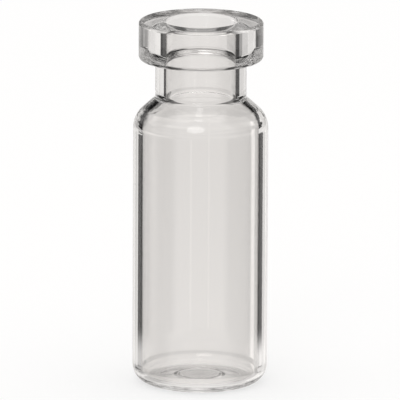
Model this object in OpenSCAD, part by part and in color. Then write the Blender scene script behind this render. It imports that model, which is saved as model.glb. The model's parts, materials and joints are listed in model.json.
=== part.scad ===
// Clear glass sample vial: a straight body on a rounded foot, a sloped shoulder, a short neck
// and a flanged mouth for a crimped cap. Sizes are in millimetres and angles in degrees.
// The vial is formed from one length of tube, so it is one piece: a single closed wall section
// turned about the Z axis. Origin: centre of the foot, on the surface that the vial stands on.
// +Z points to the mouth.

/* [Body] */
// Overall height, from the foot to the rim
vial_h = 32; // [28:0.5:50]
// Outside diameter of the body
body_d = 11.7; // [11.2:0.1:15]
// Thickness of the body wall
body_wall = 0.8; // [0.6:0.02:1]

/* [Foot] */
// Outside radius where the body wall turns into the foot
heel_r = 1.65; // [1:0.05:2]
// Diameter of the hollow under the foot, inside the ring that the vial stands on
hollow_d = 7; // [6:0.1:7.2]
// Height of the hollow under the foot at its flat middle
hollow_h = 0.2; // [0.1:0.05:0.4]
// Radius between the ring that the vial stands on and the hollow
hollow_r = 1.5; // [0.5:0.1:2]
// Middle diameter of the ring groove round the hollow's flat middle
groove_d = 3.9; // [3:0.1:4.4]
// Width of the ring groove
groove_w = 0.5; // [0.4:0.05:0.6]
// Height of the ring groove above the hollow's flat middle
groove_h = 0.12; // [0.06:0.02:0.16]
// Radius of the ring groove's edges and of its bottom
groove_r = 0.1; // [0.04:0.02:0.16]

/* [Floor] */
// Height of the inside floor where it meets the corner under the body wall
floor_h = 0.75; // [0.6:0.05:1.3]
// Inside radius where the body wall turns into the floor
floor_r = 0.7; // [0.4:0.05:1.2]
// Rise of the inside floor from its edge to its flat middle
floor_rise = 0.1; // [0.05:0.05:0.3]
// Diameter of the inside floor's flat middle
floor_d = 4.4; // [3:0.1:5]
// Radius between the floor's slope and its flat middle
crown_r = 6; // [2:0.5:8]

/* [Shoulder] */
// Slope of the shoulder above the horizontal
shoulder_slope = 42; // [38:1:50]
// Outside radius between the body and the shoulder
shoulder_r = 2.2; // [1.2:0.1:2.4]
// Inside radius between the body and the shoulder
shoulder_in_r = 2; // [1:0.1:2.2]
// Glass thickness along the shoulder
shoulder_wall = 0.68; // [0.6:0.02:0.9]

/* [Neck] */
// Outside diameter of the neck
neck_d = 7.9; // [7.7:0.1:8.6]
// Bore of the neck and mouth
bore_d = 6.06; // [5.8:0.02:6.4]
// Height from the shoulder's slope, where its line meets the neck, to the flange
neck_h = 3.3; // [2.6:0.1:4.5]
// Outside radius between the shoulder and the neck
neck_r = 0.3; // [0.2:0.05:0.8]
// Inside radius between the shoulder and the bore
neck_in_r = 1; // [0.6:0.1:1.6]

/* [Flange] */
// Outside diameter of the flange that the cap is crimped over
flange_d = 10.8; // [10.6:0.1:11.2]
// Height of the flange
flange_h = 3.45; // [3:0.05:3.9]
// Radius of the flange's top outer edge
rim_r = 0.3; // [0.1:0.05:0.6]
// Radius of the mouth's inner edge
lip_r = 0.3; // [0.1:0.05:0.6]
// Radius of the flange's lower outer edge
skirt_r = 0.4; // [0.2:0.05:0.7]
// Radius in the corner between the flange and the neck
root_r = 0.3; // [0.1:0.05:0.5]

/* [Hidden] */
$fn = 144;

// How far a bulging corner's cut reaches past the corner, as a share of its radius.
tip_reach = 0.1;

body_or = body_d / 2;
body_ir = body_or - body_wall;
neck_or = neck_d / 2;
bore_or = bore_d / 2;
flange_or = flange_d / 2;
hollow_or = hollow_d / 2;
groove_ir = (groove_d - groove_w) / 2;
groove_mr = groove_d / 2;
groove_or = (groove_d + groove_w) / 2;
hollow_slope = hollow_h / (hollow_or - groove_ir);

// Heights of the corners that the shoulder's straight lines make with the walls.
flange_z = vial_h - flange_h;
neck_z = flange_z - neck_h;
shoulder_z = slope_z(body_or);
shoulder_drop = shoulder_wall / cos(shoulder_slope);

// Corners of the wall section, anticlockwise from the axis: [radius, height, rounding].
section = [
    [0, hollow_h, 0],
    [groove_ir, hollow_h, groove_r],
    [groove_mr, hollow_h + groove_h, groove_r],
    [groove_or, (hollow_or - groove_or) * hollow_slope, groove_r],
    [hollow_or, 0, hollow_r],
    [body_or, 0, heel_r],
    [body_or, shoulder_z, shoulder_r],
    [neck_or, neck_z, neck_r],
    [neck_or, flange_z, root_r],
    [flange_or, flange_z, skirt_r],
    [flange_or, vial_h, rim_r],
    [bore_or, vial_h, lip_r],
    [bore_or, slope_z(bore_or) - shoulder_drop, neck_in_r],
    [body_ir, slope_z(body_ir) - shoulder_drop, shoulder_in_r],
    [body_ir, floor_h, floor_r],
    [floor_d / 2, floor_h + floor_rise, crown_r],
    [0, floor_h + floor_rise, 0],
];

// Height of the shoulder's outer slope line at radius r.
function slope_z(r) = neck_z - (r - neck_or) * tan(shoulder_slope);

function unit(v) = v / norm(v);

// Corner i of the section, rounded by r: its point p, its arc's centre, and where the arc
// touches the two straight lines that meet there.
function corner_p(i) = [section[i].x, section[i].y];
function side(i, step) = unit(corner_p((i + step + len(section)) % len(section)) - corner_p(i));
function half_angle(i) = acos(side(i, -1) * side(i, 1)) / 2;
function inward(i) = unit(side(i, -1) + side(i, 1));
function centre(i) = corner_p(i) + inward(i) * section[i].z / sin(half_angle(i));
function touch(i, step) = corner_p(i) + side(i, step) * section[i].z / tan(half_angle(i));

// Turn at corner i: positive where the glass bulges, negative where it is hollow.
function turn(i) = side(i, 1).x * side(i, -1).y - side(i, 1).y * side(i, -1).x;

corners = [0 : len(section) - 1];
bulging = [for (i = corners) if (section[i].z > 0 && turn(i) > 0) i];
hollowed = [for (i = corners) if (section[i].z > 0 && turn(i) < 0) i];

// Points that the section's outline takes from corner i. At a hollow corner they run round
// the arc's centre, so that taking the arc's circle out leaves the fillet.
function outline_points(i) =
    section[i].z > 0 && turn(i) < 0
    ? [touch(i, -1), centre(i), touch(i, 1)]
    : [corner_p(i)];

// The arc's full circle at corner i, with one of its points where the arc starts.
module corner_circle(i) {
    start = touch(i, -1) - centre(i);
    translate(centre(i)) rotate(atan2(start.y, start.x)) circle(section[i].z);
}

// What a bulging corner i has outside its arc. The tip reaches a little past the corner.
module corner_tip(i) {
    tip = corner_p(i) - inward(i) * section[i].z * tip_reach;
    difference() {
        polygon([touch(i, -1), tip, touch(i, 1)]);
        corner_circle(i);
    }
}

// The wall section with its corners rounded.
module rounded_section() {
    difference() {
        polygon([for (i = corners) each outline_points(i)]);
        for (i = hollowed) corner_circle(i);
        for (i = bulging) corner_tip(i);
    }
}

module vial() {
    color([0.86, 0.85, 0.84, 0.4])
        rotate_extrude()
            rounded_section();
}

vial();
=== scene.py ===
# Clear glass sample vial: the glass, its studio and its camera. Lengths are in metres and angles
# in degrees. +Z points to the mouth, and the camera looks towards +Y.

import json
import math
from typing import NamedTuple

import bpy
from mathutils import Matrix, Vector


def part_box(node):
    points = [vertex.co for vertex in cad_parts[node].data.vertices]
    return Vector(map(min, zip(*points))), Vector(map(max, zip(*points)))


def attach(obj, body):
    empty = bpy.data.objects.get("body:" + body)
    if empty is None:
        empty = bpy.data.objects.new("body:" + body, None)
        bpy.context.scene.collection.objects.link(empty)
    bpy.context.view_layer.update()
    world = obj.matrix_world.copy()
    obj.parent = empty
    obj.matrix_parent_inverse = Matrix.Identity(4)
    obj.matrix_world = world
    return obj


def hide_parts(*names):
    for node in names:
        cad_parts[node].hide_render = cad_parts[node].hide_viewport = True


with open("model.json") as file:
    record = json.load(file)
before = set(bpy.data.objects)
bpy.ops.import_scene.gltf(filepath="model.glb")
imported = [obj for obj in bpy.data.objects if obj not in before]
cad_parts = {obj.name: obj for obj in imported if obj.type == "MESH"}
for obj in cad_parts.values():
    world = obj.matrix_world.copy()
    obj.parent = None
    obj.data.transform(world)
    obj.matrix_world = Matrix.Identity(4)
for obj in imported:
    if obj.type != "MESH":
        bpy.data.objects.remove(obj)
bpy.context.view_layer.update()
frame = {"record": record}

MM = 0.001
MOUNTS = {mount["name"]: mount for mount in frame["record"]["mounts"]}
VIAL_LOW, VIAL_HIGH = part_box("vial")

# Sizes of the vial: the ones that the frame holds come from there, and the rest are its maker's.
SIZES = {
    "Height": VIAL_HIGH.z - VIAL_LOW.z,
    "Body Diameter": 2 * MOUNTS["body_outside"]["dims"]["r_mm"] * MM,
    "Body Wall": 0.8 * MM,
    "Heel Radius": 1.65 * MM,
    "Hollow Diameter": 7.0 * MM,
    "Hollow Height": 0.2 * MM,
    "Hollow Radius": 1.5 * MM,
    "Groove Diameter": 3.9 * MM,
    "Groove Width": 0.5 * MM,
    "Groove Height": 0.12 * MM,
    "Groove Radius": 0.1 * MM,
    "Floor Height": 0.75 * MM,
    "Floor Radius": 0.7 * MM,
    "Floor Rise": 0.1 * MM,
    "Floor Diameter": 4.4 * MM,
    "Crown Radius": 6.0 * MM,
    "Shoulder Radius": 2.2 * MM,
    "Shoulder Inside Radius": 2.0 * MM,
    "Shoulder Wall": 0.68 * MM,
    "Neck Diameter": 7.9 * MM,
    "Bore Diameter": 2 * MOUNTS["mouth"]["dims"]["r_mm"] * MM,
    "Neck Height": 3.3 * MM,
    "Neck Radius": 0.3 * MM,
    "Neck Inside Radius": 1.0 * MM,
    "Flange Diameter": 10.8 * MM,
    "Flange Height": 3.45 * MM,
    "Rim Radius": 0.3 * MM,
    "Lip Radius": 0.3 * MM,
    "Skirt Radius": 0.4 * MM,
    "Root Radius": 0.3 * MM,
}
SHOULDER_SLOPE = 42.0

# How finely the wall section and its turn are divided.
TURN_STEPS = 240
ARC_STEP = 3.0
MERGE_DISTANCE = 0.0001 * MM


class Socket:
    """An output socket that Python's operators work on, so that node maths reads as formulas."""

    def __init__(self, tree, socket):
        self.tree = tree
        self.socket = socket

    def __add__(self, other):
        return self.tree.math("ADD", self, other)

    def __radd__(self, other):
        return self.tree.math("ADD", other, self)

    def __sub__(self, other):
        return self.tree.math("SUBTRACT", self, other)

    def __rsub__(self, other):
        return self.tree.math("SUBTRACT", other, self)

    def __mul__(self, other):
        return self.tree.math("MULTIPLY", self, other)

    def __rmul__(self, other):
        return self.tree.math("MULTIPLY", other, self)

    def __truediv__(self, other):
        return self.tree.math("DIVIDE", self, other)

    def __rtruediv__(self, other):
        return self.tree.math("DIVIDE", other, self)

    def __mod__(self, other):
        return self.tree.math("FLOORED_MODULO", self, other)


class Tree:
    """A node tree, with one method that adds any node and a few for the common ones."""

    def __init__(self, tree):
        self.tree = tree
        tree.nodes.clear()

    def node(self, kind, settings=None, **sockets):
        """Adds a node, makes its settings and then feeds its sockets.

        The keyword in_0 feeds the first socket, and Some_Name feeds the one named Some Name. The
        setting items is how many choices an Index Switch has.
        """
        node = self.tree.nodes.new(kind)
        for name, setting in (settings or {}).items():
            if name == "items":
                for _ in range(setting - len(node.index_switch_items)):
                    node.index_switch_items.new()
            else:
                setattr(node, name, setting)
        for name, value in sockets.items():
            key = int(name[3:]) if name.startswith("in_") else name.replace("_", " ")
            self.feed(node.inputs[key], value)
        return node

    def feed(self, target, value):
        if isinstance(value, Socket):
            self.tree.links.new(value.socket, target)
        else:
            target.default_value = value

    def value(self, kind, settings=None, output=0, **sockets):
        return Socket(self, self.node(kind, settings, **sockets).outputs[output])

    def math(self, operation, *terms):
        inputs = {f"in_{i}": term for i, term in enumerate(terms)}
        return self.value("ShaderNodeMath", {"operation": operation}, **inputs)

    def vector_math(self, operation, *terms, output=0):
        inputs = {f"in_{i}": term for i, term in enumerate(terms)}
        return self.value("ShaderNodeVectorMath", {"operation": operation}, output, **inputs)

    def vector(self, x, y, z):
        return self.value("ShaderNodeCombineXYZ", X=x, Y=y, Z=z)

    def split(self, vector):
        """A vector's x, y and z."""
        separate = self.node("ShaderNodeSeparateXYZ", Vector=vector)
        return [Socket(self, output) for output in separate.outputs]

    def smooth_step(self, value, low, high):
        """0 below low, 1 above high, and a smooth rise between them."""
        return self.value(
            "ShaderNodeMapRange",
            {"interpolation_type": "SMOOTHSTEP"},
            Value=value,
            From_Min=low,
            From_Max=high,
        )


def turned_vial_tree():
    """Geometry node tree that rounds the corners of the wall section and turns it about Z."""
    group = bpy.data.node_groups.new("turned_vial", "GeometryNodeTree")
    group.interface.new_socket("Geometry", in_out="OUTPUT", socket_type="NodeSocketGeometry")

    def add_input(name, kind, subtype=None):
        socket = group.interface.new_socket(name, in_out="INPUT", socket_type=kind)
        if subtype:
            socket.subtype = subtype

    for name in SIZES:
        add_input(name, "NodeSocketFloat", "DISTANCE")
    add_input("Shoulder Slope", "NodeSocketFloat", "ANGLE")
    add_input("Turn Steps", "NodeSocketInt")
    add_input("Arc Step", "NodeSocketFloat", "ANGLE")
    add_input("Merge Distance", "NodeSocketFloat", "DISTANCE")
    add_input("Material", "NodeSocketMaterial")

    tree = Tree(group)
    given = tree.node("NodeGroupInput")

    def size(name):
        return Socket(tree, given.outputs[name])

    body_or = size("Body Diameter") / 2
    body_ir = body_or - size("Body Wall")
    neck_or = size("Neck Diameter") / 2
    bore_or = size("Bore Diameter") / 2
    flange_or = size("Flange Diameter") / 2
    hollow_or = size("Hollow Diameter") / 2
    groove_ir = (size("Groove Diameter") - size("Groove Width")) / 2
    groove_mr = size("Groove Diameter") / 2
    groove_or = (size("Groove Diameter") + size("Groove Width")) / 2
    hollow_h = size("Hollow Height")
    hollow_slope = hollow_h / (hollow_or - groove_ir)
    height = size("Height")
    flange_z = height - size("Flange Height")
    neck_z = flange_z - size("Neck Height")
    fall = tree.math("TANGENT", size("Shoulder Slope"))
    drop = size("Shoulder Wall") / tree.math("COSINE", size("Shoulder Slope"))
    floor_h = size("Floor Height")
    crown_z = floor_h + size("Floor Rise")

    def slope_z(radius):
        """Height of the shoulder's outer slope line at that radius."""
        return neck_z - (radius - neck_or) * fall

    # Corners of the wall section, anticlockwise from the axis: radius, height and rounding.
    corners = [
        (0.0, hollow_h, 0.0),
        (groove_ir, hollow_h, size("Groove Radius")),
        (groove_mr, hollow_h + size("Groove Height"), size("Groove Radius")),
        (groove_or, (hollow_or - groove_or) * hollow_slope, size("Groove Radius")),
        (hollow_or, 0.0, size("Hollow Radius")),
        (body_or, 0.0, size("Heel Radius")),
        (body_or, slope_z(body_or), size("Shoulder Radius")),
        (neck_or, neck_z, size("Neck Radius")),
        (neck_or, flange_z, size("Root Radius")),
        (flange_or, flange_z, size("Skirt Radius")),
        (flange_or, height, size("Rim Radius")),
        (bore_or, height, size("Lip Radius")),
        (bore_or, slope_z(bore_or) - drop, size("Neck Inside Radius")),
        (body_ir, slope_z(body_ir) - drop, size("Shoulder Inside Radius")),
        (body_ir, floor_h, size("Floor Radius")),
        (size("Floor Diameter") / 2, crown_z, size("Crown Radius")),
        (0.0, crown_z, 0.0),
    ]

    index = tree.value("GeometryNodeInputIndex")
    position = tree.value("GeometryNodeInputPosition")

    def pick(data_type, choices):
        """The choice that has the current point's number."""
        inputs = {f"in_{i + 1}": choice for i, choice in enumerate(choices)}
        settings = {"data_type": data_type, "items": len(choices)}
        return tree.value("GeometryNodeIndexSwitch", settings, in_0=index, **inputs)

    def neighbour(step, count):
        """Position of the point that many steps along, held at the ends of a line of count points."""
        number = tree.math("MAXIMUM", tree.math("MINIMUM", index + step, count - 1), 0)
        settings = {"data_type": "FLOAT_VECTOR", "domain": "POINT"}
        return tree.value("GeometryNodeFieldAtIndex", settings, Value=position, Index=number)

    # The corners are joined by straight lines.
    line = tree.value("GeometryNodeCurvePrimitiveLine")
    line = tree.value("GeometryNodeResampleCurve", Curve=line, Count=len(corners))
    places = pick("VECTOR", [tree.vector(radius, 0.0, z) for radius, z, _ in corners])
    line = tree.value("GeometryNodeSetPosition", Geometry=line, Position=places)

    # Each corner is rounded by an arc with a point every Arc Step.
    arriving = tree.vector_math("SUBTRACT", position, neighbour(-1, len(corners)))
    leaving = tree.vector_math("SUBTRACT", neighbour(1, len(corners)), position)
    arriving = tree.vector_math("NORMALIZE", arriving)
    leaving = tree.vector_math("NORMALIZE", leaving)
    bend = tree.math("ARCCOSINE", tree.vector_math("DOT_PRODUCT", arriving, leaving, output=1))
    section = tree.value(
        "GeometryNodeFilletCurve",
        {"mode": "POLY"},
        Curve=line,
        Count=tree.math("CEIL", bend / size("Arc Step")),
        Radius=pick("FLOAT", [rounding for _, _, rounding in corners]),
        Limit_Radius=False,
    )
    count = tree.value("GeometryNodeAttributeDomainSize", {"component": "CURVE"}, Geometry=section)

    # The direction out of the glass, square to the line between a point's two neighbours. A long
    # straight wall outweighs the short steps of an arc there, so it shades as straight to its end.
    along = tree.vector_math("SUBTRACT", neighbour(1, count), neighbour(-1, count))
    along_x, _, along_z = tree.split(along)
    outward = tree.vector_math("NORMALIZE", tree.vector(along_z, 0.0, 0 - along_x))

    # A grid with one row for each point of the section and one column for each turn step.
    columns = size("Turn Steps") + 1
    grid = tree.value("GeometryNodeMeshGrid", Vertices_X=count, Vertices_Y=columns)
    row = tree.math("FLOOR", (index + 0.5) / columns)
    angle = (index % columns) * (2 * math.pi) / size("Turn Steps")

    def turned(on_section):
        """A vector of the section's point on this row, turned about Z to this column."""
        settings = {"data_type": "FLOAT_VECTOR", "domain": "POINT"}
        sampled = tree.value(
            "GeometryNodeSampleIndex",
            settings,
            Geometry=section,
            Value=on_section,
            Index=row,
        )
        about_z = {"rotation_type": "Z_AXIS"}
        return tree.value("ShaderNodeVectorRotate", about_z, Vector=sampled, Angle=angle)

    glass = tree.value("GeometryNodeSetPosition", Geometry=grid, Position=turned(position))
    glass = tree.value("GeometryNodeFlipFaces", Mesh=glass)
    glass = tree.value("GeometryNodeSetShadeSmooth", Geometry=glass, Shade_Smooth=True)
    normals = {"mode": "FREE", "domain": "POINT"}
    glass = tree.value("GeometryNodeSetMeshNormal", normals, Mesh=glass, Custom_Normal=turned(outward))
    glass = tree.value("GeometryNodeMergeByDistance", Geometry=glass, Distance=size("Merge Distance"))
    glass = tree.value("GeometryNodeRealizeInstances", Geometry=glass)
    glass = tree.value("GeometryNodeSetMaterial", Geometry=glass, Material=size("Material"))
    tree.node("NodeGroupOutput", in_0=glass)
    return group


def make_vial(material):
    """Makes the vial as a plain closed mesh, turned by its geometry nodes."""
    vial = bpy.data.objects.new("vial_glass", bpy.data.meshes.new("vial_glass"))
    bpy.context.scene.collection.objects.link(vial)
    modifier = vial.modifiers.new("turned_vial", "NODES")
    modifier.node_group = turned_vial_tree()
    settings = dict(SIZES)
    settings["Shoulder Slope"] = math.radians(SHOULDER_SLOPE)
    settings["Turn Steps"] = TURN_STEPS
    settings["Arc Step"] = math.radians(ARC_STEP)
    settings["Merge Distance"] = MERGE_DISTANCE
    settings["Material"] = material
    for item in modifier.node_group.interface.items_tree:
        if item.item_type == "SOCKET" and item.in_out == "INPUT":
            modifier[item.identifier] = settings[item.name]
    evaluated = vial.evaluated_get(bpy.context.evaluated_depsgraph_get())
    vial.data = bpy.data.meshes.new_from_object(evaluated)
    vial.modifiers.remove(modifier)
    vial.data.name = "vial_glass"
    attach(vial, "root")
    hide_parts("vial")


REFRACTIVE_INDEX = 1.5

# Lines along the tube, which drawing it leaves.
DRAWN_WIDTH = 0.6 * MM
DRAWN_LENGTH = 40.0 * MM
DRAWN_HEIGHT = 0.001 * MM

# Rings on the shoulder, which rolling it hot leaves, from the neck down.
ROLLED_WIDTH = 0.45 * MM
ROLLED_LENGTH = 10.0 * MM
ROLLED_HEIGHT = 0.016 * MM
ROLLED_REACH = 2.0 * MM
ROLLED_FADE = 1.0 * MM
ROLLED_TO = SIZES["Height"] - SIZES["Flange Height"] - SIZES["Neck Height"]
ROLLED_FROM = ROLLED_TO - ROLLED_REACH

# Unevenness where the foot was pressed, up to the top of the rounded heel.
PRESSED_WIDTH = 1.4 * MM
PRESSED_HEIGHT = 0.005 * MM
PRESSED_TO = SIZES["Heel Radius"]

# Wear on the ring that the vial stands on.
WORN_WIDTH = 0.3 * MM
WORN_TO = 0.1 * MM
WORN_ROUGHNESS = 0.12

# The glass's faint colour, which varies round the tube.
TINT_WIDTH = 3.0 * MM
PLAIN_TINT = (0.985, 0.978, 0.972, 1.0)
DEEP_TINT = (0.982, 0.972, 0.963, 1.0)


def clear_glass():
    """Clear glass with drawn lines, rings on the shoulder, and a pressed and worn foot."""
    material = bpy.data.materials.new("clear_glass")
    material.use_nodes = True
    tree = Tree(material.node_tree)
    coordinates = tree.node("ShaderNodeTexCoord")
    x, y, z = tree.split(Socket(tree, coordinates.outputs["Object"]))

    def mottle(across, along, detail):
        """Noise from 0 to 1 with patches of one size across the axis and one along it."""
        place = tree.vector(x / across, y / across, z / along)
        settings = {"noise_dimensions": "3D"}
        return tree.value("ShaderNodeTexNoise", settings, Vector=place, Scale=1.0, Detail=detail)

    def unevenness(across, along, detail):
        """The same noise about zero, from -0.5 to 0.5."""
        return mottle(across, along, detail) - 0.5

    on_shoulder = tree.smooth_step(z, ROLLED_FROM - ROLLED_FADE, ROLLED_FROM)
    on_shoulder = on_shoulder * (1 - tree.smooth_step(z, ROLLED_TO - ROLLED_FADE, ROLLED_TO))
    on_foot = 1 - tree.smooth_step(z, PRESSED_TO / 2, PRESSED_TO)
    on_ring = 1 - tree.smooth_step(z, 0.0, WORN_TO)

    drawn = unevenness(DRAWN_WIDTH, DRAWN_LENGTH, detail=2.0) * DRAWN_HEIGHT
    rolled = unevenness(ROLLED_LENGTH, ROLLED_WIDTH, detail=1.0) * ROLLED_HEIGHT
    pressed = unevenness(PRESSED_WIDTH, PRESSED_WIDTH, detail=0.0) * PRESSED_HEIGHT
    height = drawn + on_shoulder * rolled + on_foot * pressed
    relief = tree.value("ShaderNodeBump", Height=height / MM, Distance=MM)

    worn = on_ring * mottle(WORN_WIDTH, WORN_WIDTH, detail=2.0)
    tint = tree.node(
        "ShaderNodeMix",
        {"data_type": "RGBA"},
        in_0=mottle(TINT_WIDTH, DRAWN_LENGTH, detail=1.0),
        in_6=PLAIN_TINT,
        in_7=DEEP_TINT,
    )
    shader = tree.node(
        "ShaderNodeBsdfPrincipled",
        Base_Color=Socket(tree, tint.outputs[2]),
        Roughness=worn * WORN_ROUGHNESS,
        IOR=REFRACTIVE_INDEX,
        Transmission_Weight=1.0,
        Normal=relief,
    )
    tree.node("ShaderNodeOutputMaterial", Surface=Socket(tree, shader.outputs[0]))
    return material


class Card(NamedTuple):
    """A card of the studio, by the directions that it fills.

    Azimuth 0 is +Y and 90 is +X, and elevation 90 is up. Each edge fades over soft on both sides
    of its limit: first the upright edges, then the level ones. Tone 1 is white.
    """

    name: str
    azimuth: tuple
    elevation: tuple
    soft: tuple
    tone: float


# The studio that the glass shows, each card over the ones before it. Azimuths run from -180 to
# 180. A card that goes on past 180 is there twice, once for either side, and one that only has a
# limit past it stops sharply at 180. From -190 to 190 is all the way round.
ROOM_TONE = 0.55
CARDS = [
    Card("ceiling", (-190, 190), (64, 95), (1, 8), 1.00),
    Card("ceiling front", (140, 220), (55, 76), (8, 5), 0.45),
    Card("ceiling front left", (-220, -140), (55, 76), (8, 5), 0.45),
    Card("bench", (-190, 190), (-95, -13.2), (1, 0.08), 0.35),
    Card("bench below", (-190, 190), (-95, -55), (1, 6), 0.80),
    Card("bench behind", (-62, 62), (-58, -13.2), (8, 0.08), 0.72),
    Card("bench left", (-66, -20), (-50, -13.2), (5, 0.08), 0.55),
    Card("bench right", (20, 42), (-40, -13.2), (4, 0.08), 0.98),
    Card("bench middle", (-11, 12), (-50, -18), (6, 5), 0.88),
    Card("left dark side", (-122, -74), (-50, -5), (5, 4), 0.05),
    Card("right dark side", (78, 122), (-50, -5), (5, 4), 0.05),
    Card("dark surround", (-105, 112), (-9, 62), (8, 2), 0.01),
    Card("dark foot", (-130, 130), (-13.2, -8), (6, 0.08), 0.06),
    Card("left upper light", (-74, -46), (21, 42), (4, 3), 0.60),
    Card("right upper light", (58, 88), (18, 38), (4, 3), 0.36),
    Card("left side light", (-72, -44), (10, 19), (4, 3), 0.45),
    Card("right side light", (44, 75), (8, 19), (5, 3), 0.50),
    Card("backdrop top", (-15, 17), (15, 45), (4, 2), 0.62),
    Card("backdrop gap", (-11, 18), (5, 16), (4, 2), 0.22),
    Card("backdrop", (-9, 18), (-12, 5), (3, 1.5), 0.72),
    Card("backdrop low", (-20, 20), (-12, -5), (3, 0.6), 0.72),
    Card("left foot light", (-60, -20), (-10.9, -5.6), (3, 0.4), 0.50),
    Card("right foot light", (18, 52), (-10.9, -3.8), (3, 0.4), 0.85),
    Card("backdrop sides", (-31, 31), (-20, -10.4), (1.5, 0.3), 0.78),
    Card("backdrop foot", (-27, 27), (-20, -12.75), (3, 0.7), 0.84),
    Card("backdrop height", (-27, 27), (-12.05, -11), (3, 0.1), 0.83),
    Card("left edge light", (-31, -26), (-25, -10.6), (1.0, 0.5), 0.90),
    Card("right edge light", (22.5, 27.5), (-14, -12), (1.2, 0.05), 0.86),
    Card("left glow", (-19, -8), (-20, -12), (2.5, 0.3), 0.90),
    Card("right bright edge", (13.2, 19.0), (-25, -12), (1.2, 0.1), 1.22),
    Card("left neck shelf", (-48, -26), (-11.98, -11.785), (1.5, 0.03), 0.86),
    Card("right neck shelf", (20, 40), (-11.98, -11.785), (1.5, 0.03), 0.74),
    Card("left flange shelf", (-51, -26), (-11.785, -11.3), (1.5, 0.03), 0.90),
    Card("right flange shelf", (20, 52), (-11.785, -11.3), (1.5, 0.03), 0.66),
    Card("flange ends", (48, 60), (-11.785, -11.3), (1.5, 0.03), 0.36),
    Card("flange side", (-90, -60), (-11.785, -11.3), (4, 0.03), 0.12),
    Card("left window", (-74, -17), (-27.6, -22.4), (5, 0.8), 0.86),
    Card("left window edge", (-100, -80), (-27.6, -22.4), (3, 0.8), 0.05),
    Card("front window", (104, 166), (-17.6, -13.4), (5, 0.15), 0.84),
    Card("front window left edge", (172, 186), (-17.6, -13.4), (3, 0.15), 0.10),
    Card("front window right edge", (84, 100), (-17.6, -13.4), (3, 0.15), 0.10),
    Card("side window", (-120, -62), (-5.2, -0.8), (4, 0.4), 0.82),
    Card("side window edge", (-150, -126), (-5.2, -0.8), (3, 0.4), 0.08),
    Card("far window", (-23, 25), (-4.4, -1.7), (3, 0.3), 0.80),
    Card("strip lamp", (-164.0, -162.4), (-13.1, -5), (0.4, 0.1), 1.75),
]
AMBIENT_LEVEL = 0.97
STUDIO_COLOUR = (1.0, 0.982, 0.965, 1.0)


def studio_world():
    """Shows near-white to the camera and the cards to the glass, and lights the rest evenly."""
    world = bpy.data.worlds.new("studio")
    bpy.context.scene.world = world
    world.use_nodes = True
    tree = Tree(world.node_tree)
    coordinates = tree.node("ShaderNodeTexCoord")
    x, y, z = tree.split(Socket(tree, coordinates.outputs["Generated"]))
    azimuth = tree.math("ARCTAN2", x, y) * math.degrees(1)
    elevation = tree.math("ARCSINE", z) * math.degrees(1)

    def between(value, limits, soft):
        """1 between the limits, 0 outside them, and a smooth fade across each."""
        low, high = limits
        rise = tree.smooth_step(value, low - soft, low + soft)
        return rise * (1 - tree.smooth_step(value, high - soft, high + soft))

    tone = ROOM_TONE
    for card in CARDS:
        beside, above = card.soft
        inside = between(azimuth, card.azimuth, beside) * between(elevation, card.elevation, above)
        tone = tone + (card.tone - tone) * inside
    rays = tree.node("ShaderNodeLightPath")
    seen = Socket(tree, rays.outputs["Is Camera Ray"])
    mirrored = Socket(tree, rays.outputs["Is Glossy Ray"])
    through = Socket(tree, rays.outputs["Is Transmission Ray"])
    by_glass = tree.math("MINIMUM", mirrored + through, 1.0) * (1 - seen)
    level = seen + (1 - seen) * (AMBIENT_LEVEL + (tone - AMBIENT_LEVEL) * by_glass)
    background = tree.node("ShaderNodeBackground", Color=STUDIO_COLOUR, Strength=level)
    tree.node("ShaderNodeOutputWorld", Surface=Socket(tree, background.outputs[0]))


FLOOR_SIZE = 4.0
FLOOR_COLOUR = (0.97, 0.97, 0.97, 1.0)
WHITE = (1.0, 1.0, 1.0, 1.0)
SHADOW_SHARE = 0.3


def pale_floor():
    """A white floor that takes a share of the vial's shadow and isn't seen through the glass."""
    mesh = bpy.data.meshes.new("floor")
    half = FLOOR_SIZE / 2
    corners = [(-half, -half, 0), (half, -half, 0), (half, half, 0), (-half, half, 0)]
    mesh.from_pydata(corners, [], [(0, 1, 2, 3)])
    floor = bpy.data.objects.new("floor", mesh)
    bpy.context.scene.collection.objects.link(floor)
    material = bpy.data.materials.new("pale_floor")
    material.use_nodes = True
    tree = Tree(material.node_tree)
    shadowed = tree.value("ShaderNodeBsdfDiffuse", Color=FLOOR_COLOUR)
    white = tree.value("ShaderNodeEmission", Color=WHITE, Strength=1.0)
    shader = tree.node("ShaderNodeMixShader", in_0=SHADOW_SHARE, in_1=white, in_2=shadowed)
    tree.node("ShaderNodeOutputMaterial", Surface=Socket(tree, shader.outputs[0]))
    mesh.materials.append(material)
    floor.visible_transmission = False
    floor.visible_glossy = False


LAMP_DISTANCE = 0.8


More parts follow.
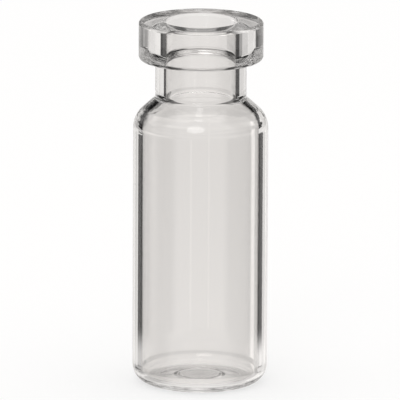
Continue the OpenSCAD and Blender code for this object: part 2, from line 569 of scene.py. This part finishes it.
def look_at(target, azimuth, elevation, distance):
    """Place and turn of what looks at the target from that direction, as cards have it."""
    az, el = math.radians(azimuth), math.radians(elevation)
    away = Vector((math.sin(az) * math.cos(el), math.cos(az) * math.cos(el), math.sin(el)))
    turn = away.to_track_quat("Z", "Y").to_matrix().to_4x4()
    return Matrix.Translation(target + away * distance) @ turn


def add_lamp(name, azimuth, elevation, width, height, strength):
    """A soft oval lamp that faces the middle of the vial."""
    light = bpy.data.lights.new(name, "AREA")
    light.shape = "ELLIPSE"
    light.size = width
    light.size_y = height
    light.energy = strength * width * height * math.pi
    holder = bpy.data.objects.new(name, light)
    bpy.context.scene.collection.objects.link(holder)
    middle = Vector((0, 0, VIAL_HIGH.z / 2))
    holder.matrix_world = look_at(middle, azimuth, elevation, LAMP_DISTANCE)


# The camera, which aims near the middle of the vial, and the width that it sees there.
CAMERA_AIM = Vector((-0.03 * MM, 0.0, 16.11 * MM))
CAMERA_AZIMUTH = 180.0
CAMERA_ELEVATION = 12.5
CAMERA_DISTANCE = 1.0
CAMERA_ROLL = 0.27
FIELD_WIDTH = 34.66 * MM
SENSOR_WIDTH = 36.0


def add_camera():
    data = bpy.data.cameras.new("camera")
    data.sensor_width = SENSOR_WIDTH
    data.lens = SENSOR_WIDTH * CAMERA_DISTANCE / FIELD_WIDTH
    camera = bpy.data.objects.new("camera", data)
    bpy.context.scene.collection.objects.link(camera)
    place = look_at(CAMERA_AIM, CAMERA_AZIMUTH, CAMERA_ELEVATION, CAMERA_DISTANCE)
    camera.matrix_world = place @ Matrix.Rotation(math.radians(CAMERA_ROLL), 4, "Z")
    bpy.context.scene.camera = camera


GLASS_BOUNCES = 256


def let_light_through():
    """Light may bounce inside the glass as often as it needs to before it leaves."""
    cycles = bpy.context.scene.cycles
    cycles.max_bounces = GLASS_BOUNCES
    cycles.glossy_bounces = GLASS_BOUNCES
    cycles.transmission_bounces = GLASS_BOUNCES


bpy.context.scene.view_settings.view_transform = "Standard"
let_light_through()
add_camera()
studio_world()
pale_floor()
add_lamp("key_panel", azimuth=190.0, elevation=37.0, width=0.42, height=0.42, strength=1.5)
add_lamp("top_panel", azimuth=200.0, elevation=84.5, width=0.14, height=0.06, strength=1.8)
make_vial(clear_glass())
